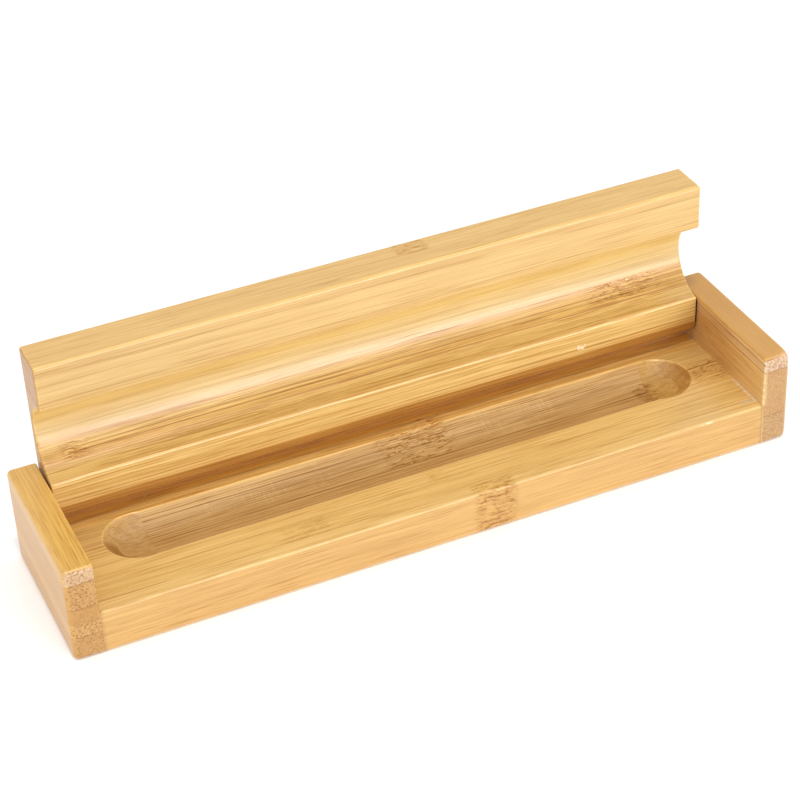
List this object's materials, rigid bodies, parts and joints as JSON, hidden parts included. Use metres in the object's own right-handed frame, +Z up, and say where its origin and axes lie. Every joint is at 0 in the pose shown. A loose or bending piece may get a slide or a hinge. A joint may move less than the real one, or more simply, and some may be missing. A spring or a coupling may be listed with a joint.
{
  "type": "pencil case",
  "caption": "Long bamboo pencil case with a pen groove, raised end cheeks and a thick coved lid that swings on hidden end pins.",
  "frame": {"origin": "middle of the footprint, on the surface that the case stands on", "axes": "+X along the case to its right end as seen from the open front, +Y to the back where the lid is hinged, +Z up"},
  "size_m": [0.18, 0.042, 0.0559],
  "materials": {
    "bamboo_base": "thin satin lacquer",
    "bamboo_cheek_left": "thin satin lacquer",
    "bamboo_cheek_right": "thin satin lacquer",
    "bamboo_lid": "thin satin lacquer",
    "steel_pin": "bare drawn wire"
  },
  "bodies": {
    "case": {"base": "bamboo_base", "cheek_left": "bamboo_cheek_left", "cheek_right": "bamboo_cheek_right", "hinge_pin_left": "steel_pin", "hinge_pin_right": "steel_pin"},
    "lid": {"lid": "bamboo_lid"}
  },
  "joints": [
    {"name": "lid_hinge", "type": "hinge", "parent": "case", "child": "lid", "pos_m": [0, 0.0166, 0.0183], "axis": [1, 0, 0], "range_deg": [-110, 90]}
  ]
}
